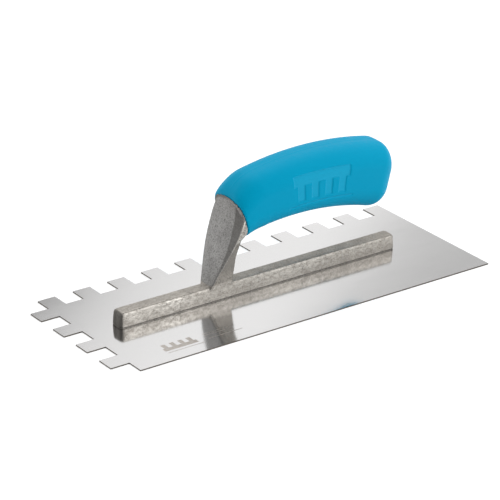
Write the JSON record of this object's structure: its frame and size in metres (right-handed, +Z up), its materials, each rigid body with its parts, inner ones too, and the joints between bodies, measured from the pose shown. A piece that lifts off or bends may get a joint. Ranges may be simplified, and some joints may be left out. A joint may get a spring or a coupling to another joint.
{
  "type": "notched trowel",
  "caption": "Rectangular notched trowel: thin steel blade with square notches on one long and one short edge, cast spar and swept shank, and a curved soft grip.",
  "frame": {"origin": "middle of the blade's sole, the face that combs the adhesive, at the middle of the blade's length and width", "axes": "+X along the blade from its notched short end to its plain short end, +Y across the blade to its notched long edge, +Z up from the blade to the handle"},
  "size_m": [0.2794, 0.113, 0.0843],
  "materials": {
    "blade_steel": "bright, finely ground along its length",
    "cast_aluminium": "die cast, grainy, rubbed bright on its edges",
    "core_plastic": "moulded, unfinished",
    "soft_grip": "soft, fine matte",
    "rivet_steel": "ground flush with the blade"
  },
  "bodies": {
    "root": {"blade": "blade_steel", "mounting": "cast_aluminium", "handle_core": "core_plastic", "grip": "soft_grip", "blade_rivet_1": "rivet_steel", "blade_rivet_2": "rivet_steel", "blade_rivet_3": "rivet_steel", "blade_rivet_4": "rivet_steel", "blade_rivet_5": "rivet_steel", "blade_rivet_6": "rivet_steel", "blade_rivet_7": "rivet_steel"}
  },
  "joints": []
}
